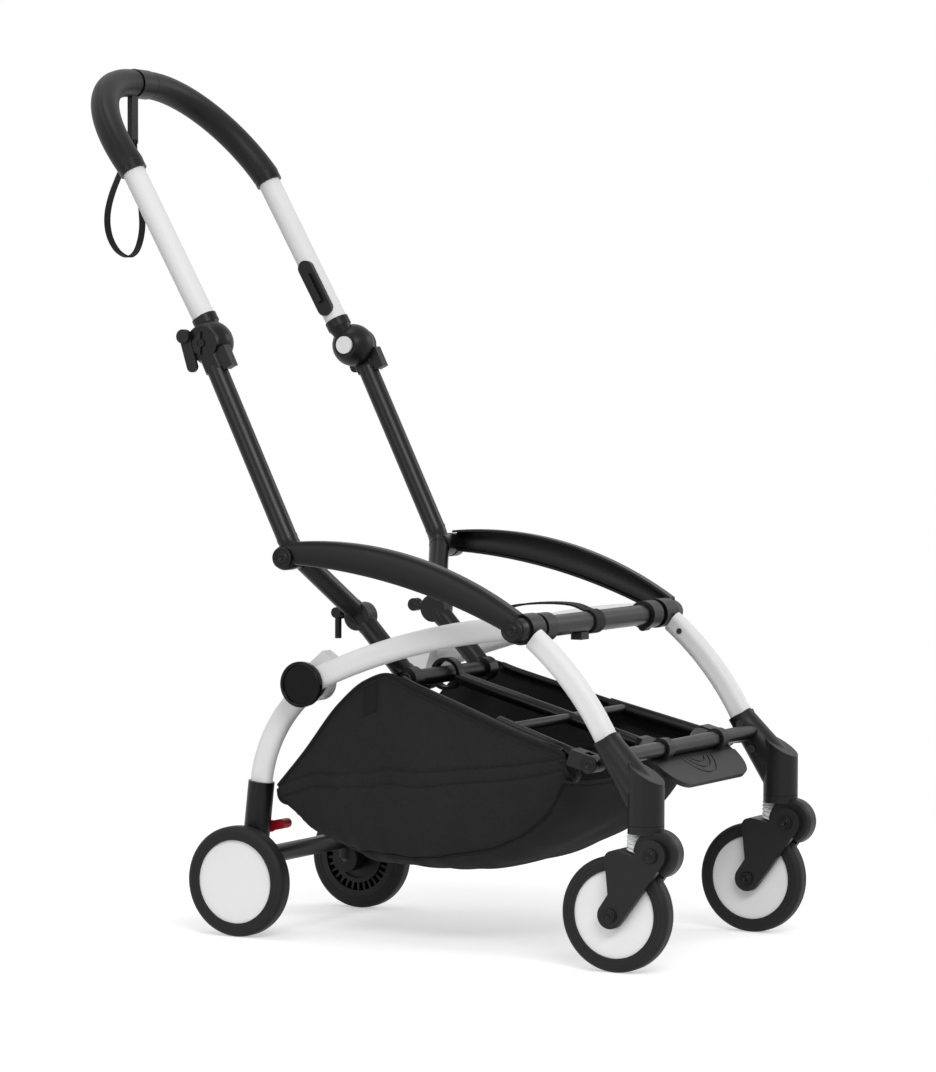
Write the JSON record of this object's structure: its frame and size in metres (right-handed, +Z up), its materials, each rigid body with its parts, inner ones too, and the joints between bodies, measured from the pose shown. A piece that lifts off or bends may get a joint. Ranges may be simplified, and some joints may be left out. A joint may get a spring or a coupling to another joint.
{
  "type": "car seat stroller frame",
  "caption": "Folding stroller frame that carries an infant car seat: white curved legs, black push bar with fold joints, sprung castors, footrest and cloth basket.",
  "frame": {"origin": "ground level at the middle of the frame's box", "axes": "+Z up, -Y forward, +X to the seated child's left"},
  "size_m": [0.44, 0.8624, 1.0616],
  "materials": {
    "white_paint": "satin white powder coat",
    "black_paint": "satin black powder coat",
    "white_plastic": "smooth white moulding",
    "black_plastic": "fine-grained black moulding",
    "charcoal_plastic": "satin charcoal moulding",
    "tyre": "black foamed tyre",
    "steel": "dark plated steel",
    "red_plastic": "red moulding",
    "grip_cover": "black leather-look cover",
    "webbing": "black woven webbing",
    "basket_cloth": "black woven polyester",
    "elastomer": "pale ribbed elastomer"
  },
  "bodies": {
    "seat_frame": {"seat_rails": "white_paint", "hub_barrels": "black_plastic", "hub_caps": "charcoal_plastic", "hub_pins": "steel", "crossbar": "black_paint", "crossbar_collars": "charcoal_plastic", "pull_strap": "webbing", "basket": "basket_cloth"},
    "fold_button": {"fold_button": "charcoal_plastic"},
    "rear_legs": {"rear_legs": "white_paint", "rear_sleeves": "black_plastic", "rear_axle_bar": "black_paint", "rear_axles": "steel"},
    "brake_pedal": {"brake_pedal": "red_plastic"},
    "front_legs": {"front_legs": "white_paint", "leg_brackets": "black_plastic", "fork_castings": "charcoal_plastic", "footrest_bar": "black_paint", "footrest_plate": "charcoal_plastic", "frame_screws": "steel"},
    "armrests": {"armrests": "charcoal_plastic", "pivot_caps": "black_plastic"},
    "push_frame": {"lower_tubes": "black_paint", "joint_shells": "black_plastic", "accessory_clips": "charcoal_plastic", "low_axle": "black_paint", "link_brackets": "charcoal_plastic"},
    "catch_lever": {"catch_lever": "black_plastic"},
    "handlebar": {"upper_tubes": "white_paint", "grip": "grip_cover", "grip_collars": "charcoal_plastic", "grip_block": "charcoal_plastic", "joint_balls": "black_plastic", "latch_plate": "black_plastic", "wrist_strap": "webbing", "strap_slider": "charcoal_plastic"},
    "struts": {"struts": "black_paint", "strut_clevises": "charcoal_plastic"},
    "rear_wheel_left": {"rear_tyre_left": "tyre", "rear_disc_left": "white_plastic", "rear_core_left": "charcoal_plastic"},
    "castor_left": {"castor_head_left": "charcoal_plastic", "swivel_pin_left": "steel", "elastomer_left": "elastomer"},
    "fork_left": {"arm_fork_left": "charcoal_plastic", "arm_bolts_left": "steel"},
    "front_wheel_left": {"front_tyre_left": "tyre", "front_disc_left": "white_plastic"},
    "release_button_left": {"release_button_left": "white_plastic"},
    "rear_wheel_right": {"rear_tyre_right": "tyre", "rear_disc_right": "white_plastic", "rear_core_right": "charcoal_plastic"},
    "castor_right": {"castor_head_right": "charcoal_plastic", "swivel_pin_right": "steel", "elastomer_right": "elastomer"},
    "fork_right": {"arm_fork_right": "charcoal_plastic", "arm_bolts_right": "steel"},
    "front_wheel_right": {"front_tyre_right": "tyre", "front_disc_right": "white_plastic"},
    "release_button_right": {"release_button_right": "white_plastic"}
  },
  "joints": [
    {"name": "fold", "type": "hinge", "parent": "seat_frame", "child": "front_legs", "pos_m": [0, -0.22924, 0.387], "axis": [1, 0, 0], "range_deg": [0, 71.44], "deforming": ["basket"]},
    {"name": "rear_leg_fold", "type": "hinge", "parent": "seat_frame", "child": "rear_legs", "pos_m": [0, 0.08476, 0.309], "axis": [1, 0, 0], "range_deg": [-70.05, 0]},
    {"name": "armrest_fold", "type": "hinge", "parent": "seat_frame", "child": "armrests", "pos_m": [0, -0.22924, 0.387], "axis": [1, 0, 0], "range_deg": [-9.55, 0]},
    {"name": "push_fold", "type": "hinge", "parent": "armrests", "child": "push_frame", "pos_m": [0, 0.07476, 0.463], "axis": [1, 0, 0], "range_deg": [0, 79.15]},
    {"name": "strut_fold", "type": "hinge", "parent": "front_legs", "child": "struts", "pos_m": [0, -0.31524, 0.235], "axis": [1, 0, 0], "range_deg": [-86.15, 0]},
    {"name": "handlebar_fold", "type": "hinge", "parent": "push_frame", "child": "handlebar", "pos_m": [0, 0.20076, 0.716], "axis": [-1, 0, 0], "range_deg": [0, 150]},
    {"name": "fold_button_press", "type": "slide", "parent": "seat_frame", "child": "fold_button", "axis": [0, 0, 1], "range_m": [0, 0.003], "stiffness_N_per_m": 400, "springref_m": -0.003},
    {"name": "brake_press", "type": "hinge", "parent": "rear_legs", "child": "brake_pedal", "pos_m": [0, 0.1681, 0.128], "axis": [1, 0, 0], "range_deg": [0, 20]},
    {"name": "catch_swing", "type": "hinge", "parent": "push_frame", "child": "catch_lever", "pos_m": [0, 0.06476, 0.393], "axis": [1, 0, 0], "range_deg": [0, 40]},
    {"name": "rear_wheel_left_spin", "type": "hinge", "parent": "rear_legs", "child": "rear_wheel_left", "pos_m": [0.151, 0.17476, 0.067], "axis": [1, 0, 0], "continuous": true},
    {"name": "castor_left_swivel", "type": "hinge", "parent": "front_legs", "child": "castor_left", "pos_m": [0.191, -0.38724, 0.15], "axis": [0, 0, 1], "continuous": true},
    {"name": "suspension_left", "type": "hinge", "parent": "castor_left", "child": "fork_left", "pos_m": [0.191, -0.40324, 0.138], "axis": [1, 0, 0], "range_deg": [0, 6], "stiffness_Nm_per_rad": 5, "springref_deg": -14.32, "deforming": ["elastomer_left"]},
    {"name": "front_wheel_left_spin", "type": "hinge", "parent": "fork_left", "child": "front_wheel_left", "pos_m": [0.191, -0.35224, 0.067], "axis": [1, 0, 0], "continuous": true},
    {"name": "release_button_left_press", "type": "slide", "parent": "handlebar", "child": "release_button_left", "axis": [1, 0, 0], "range_m": [0, 0.003], "stiffness_N_per_m": 400, "springref_m": -0.003},
    {"name": "rear_wheel_right_spin", "type": "hinge", "parent": "rear_legs", "child": "rear_wheel_right", "pos_m": [-0.151, 0.17476, 0.067], "axis": [1, 0, 0], "continuous": true},
    {"name": "castor_right_swivel", "type": "hinge", "parent": "front_legs", "child": "castor_right", "pos_m": [-0.191, -0.38724, 0.15], "axis": [0, 0, 1], "continuous": true},
    {"name": "suspension_right", "type": "hinge", "parent": "castor_right", "child": "fork_right", "pos_m": [-0.191, -0.40324, 0.138], "axis": [1, 0, 0], "range_deg": [0, 6], "stiffness_Nm_per_rad": 5, "springref_deg": -14.32, "deforming": ["elastomer_right"]},
    {"name": "front_wheel_right_spin", "type": "hinge", "parent": "fork_right", "child": "front_wheel_right", "pos_m": [-0.191, -0.35224, 0.067], "axis": [1, 0, 0], "continuous": true},
    {"name": "release_button_right_press", "type": "slide", "parent": "handlebar", "child": "release_button_right", "axis": [-1, 0, 0], "range_m": [0, 0.003], "stiffness_N_per_m": 400, "springref_m": -0.003}
  ],
  "couplings": [
    {"joint": "rear_leg_fold", "follows": "fold", "ratio": -0.97988},
    {"joint": "armrest_fold", "follows": "fold", "ratio": -0.13298},
    {"joint": "push_fold", "follows": "fold", "ratio": 1.1073},
    {"joint": "strut_fold", "follows": "fold", "ratio": -1.2052}
  ]
}
